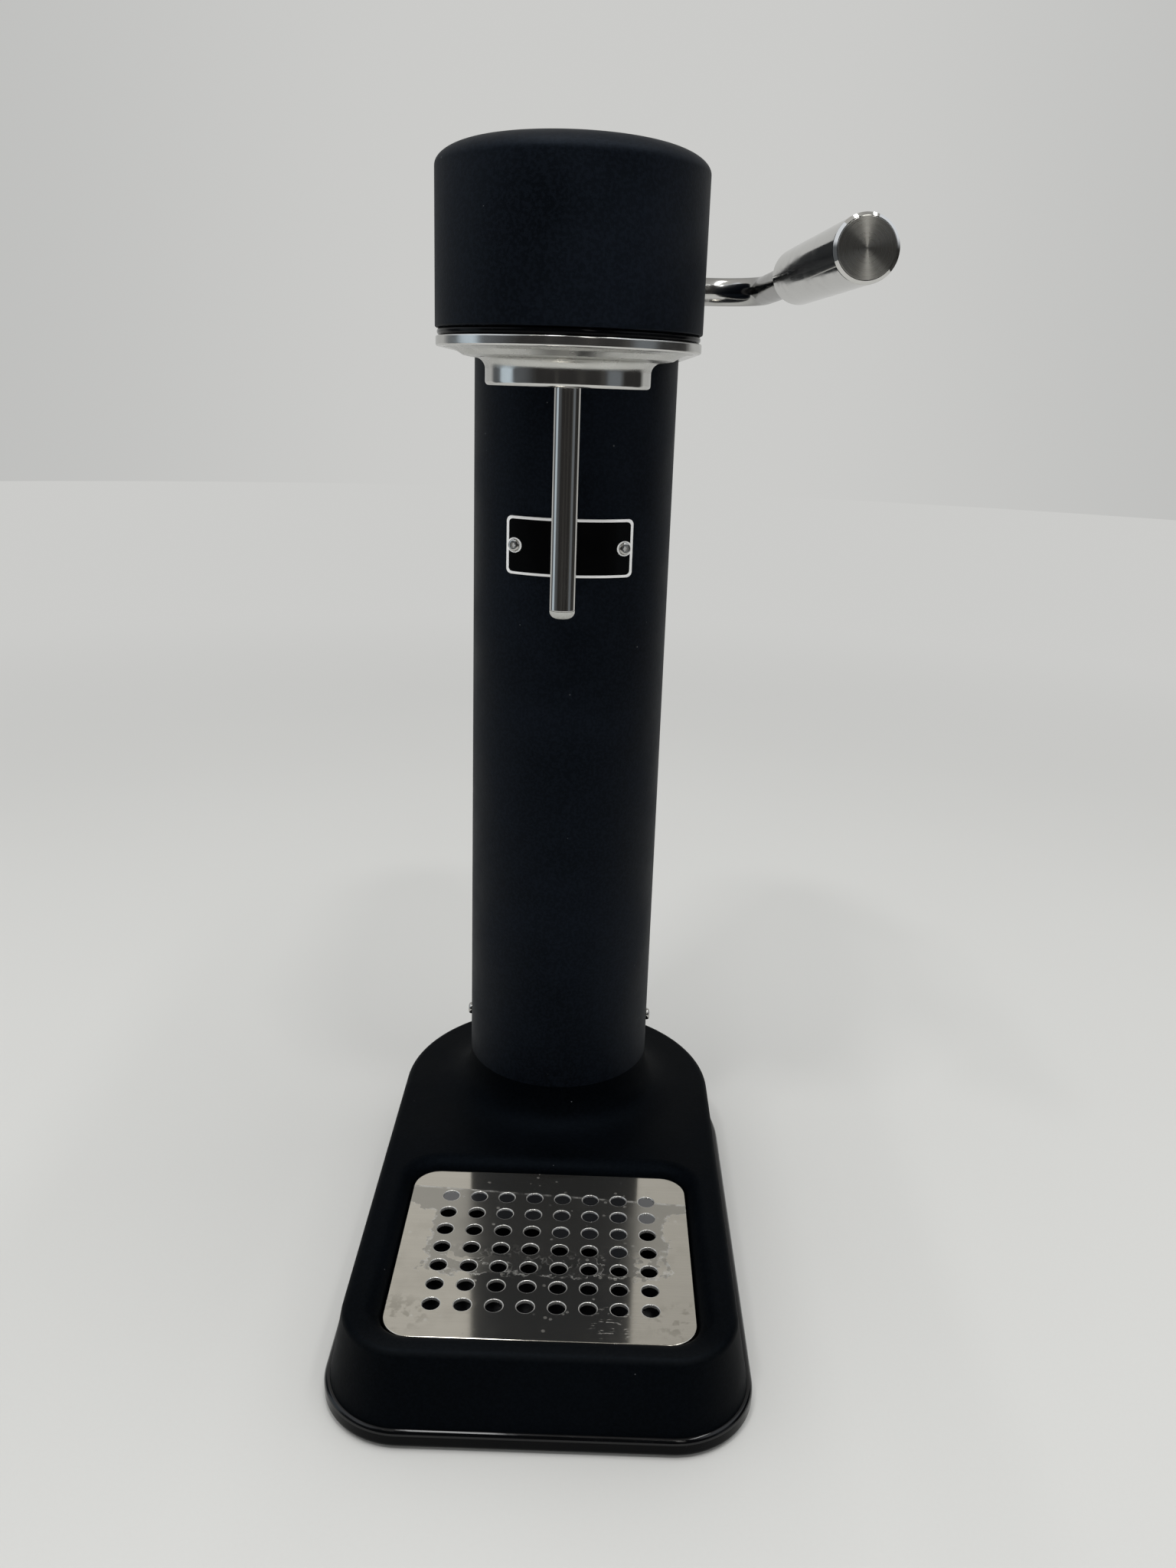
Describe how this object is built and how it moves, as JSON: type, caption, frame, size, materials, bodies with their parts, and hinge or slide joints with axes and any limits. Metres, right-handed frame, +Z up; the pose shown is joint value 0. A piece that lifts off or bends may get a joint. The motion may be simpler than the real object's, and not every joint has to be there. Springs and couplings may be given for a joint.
{
  "type": "sparkling water maker",
  "caption": "Countertop water carbonator: round column on a long base, overhanging head with bottle socket and nozzle, side lever that presses a gas valve, drip tray under a perforated plate.",
  "frame": {"origin": "on the table, under the middle of the base", "axes": "+Z up, front towards -Y, lever on the +X side"},
  "size_m": [0.1636, 0.258, 0.414],
  "materials": {
    "powder_coat": "fine matt powder coat, blue-black",
    "gloss_black": "moulded gloss black",
    "rubber": "matt moulded rubber",
    "silicone": "translucent grey-white silicone",
    "inner_plastic": "matt moulded black",
    "polished_steel": "polished stainless steel",
    "brushed_plate": "brushed stainless sheet with dried water marks",
    "bright_screws": "zinc-plated steel",
    "plain_steel": "ground steel",
    "cast_alloy": "die-cast alloy, tumbled",
    "cylinder_alloy": "drawn alloy, satin",
    "brass": "turned brass",
    "copper": "drawn copper tube",
    "badge_black": "black enamel with a bare metal edge",
    "red_cap": "moulded red",
    "tip_plastic": "moulded grey-white"
  },
  "bodies": {
    "stand": {"base_shell": "powder_coat", "tray_pocket": "powder_coat", "column_flare": "powder_coat", "column_tube": "powder_coat", "head_shell": "powder_coat", "plinth": "gloss_black", "head_gasket": "gloss_black", "foot_mat": "rubber", "cylinder_seal": "rubber", "plunger_seal": "rubber", "lever_grommet": "rubber", "bottle_seal": "silicone", "column_socket": "inner_plastic", "cylinder_guide": "inner_plastic", "bottle_socket": "inner_plastic", "bottle_collar": "polished_steel", "nozzle_tube": "polished_steel", "plinth_screws": "bright_screws", "badge_screws": "bright_screws", "block_screws": "bright_screws", "shell_screws": "bright_screws", "socket_screws": "bright_screws", "column_screws": "bright_screws", "plunger_spring": "plain_steel", "head_chassis": "cast_alloy", "shaft_bushes": "brass", "valve_block": "brass", "pipe_nuts": "brass", "relief_valve": "brass", "nozzle_carrier": "brass", "gas_pipe": "copper", "badge_plate": "badge_black", "relief_cap": "red_cap", "nozzle_tip": "tip_plastic"},
    "lever": {"lever_rod": "polished_steel", "lever_grip": "polished_steel", "lever_cam": "plain_steel", "cam_screw": "bright_screws", "shaft_clip": "plain_steel"},
    "plunger": {"plunger": "plain_steel"},
    "valve_pin": {"valve_pin": "plain_steel"},
    "cylinder": {"gas_cylinder": "cylinder_alloy", "cylinder_valve": "brass"},
    "tray": {"drip_tray": "inner_plastic"},
    "grate": {"drip_grate": "brushed_plate"}
  },
  "joints": [
    {"name": "lever_pull", "type": "hinge", "parent": "stand", "child": "lever", "pos_m": [0, 0.0525, 0.3823], "axis": [1, 0, 0], "range_deg": [0, 45], "stiffness_Nm_per_rad": 0.5, "springref_deg": -68.75},
    {"name": "plunger_press", "type": "slide", "parent": "stand", "child": "plunger", "axis": [0, 0, -1], "range_m": [0, 0.0031], "deforming": ["plunger_spring"]},
    {"name": "valve_pin_press", "type": "slide", "parent": "cylinder", "child": "valve_pin", "axis": [0, 0, -1], "range_m": [0, 0.0031]},
    {"name": "cylinder_removal", "type": "slide", "parent": "stand", "child": "cylinder", "axis": [0, 0, -1], "range_m": [0, 0.36]},
    {"name": "tray_lift", "type": "slide", "parent": "stand", "child": "tray", "axis": [0, 0, 1], "range_m": [0, 0.06]},
    {"name": "grate_lift", "type": "slide", "parent": "tray", "child": "grate", "axis": [0, 0, 1], "range_m": [0, 0.06]}
  ],
  "couplings": [
    {"joint": "plunger_press", "follows": "lever_pull", "m_per_rad": 0.0038197},
    {"joint": "valve_pin_press", "follows": "lever_pull", "m_per_rad": 0.0038197}
  ]
}
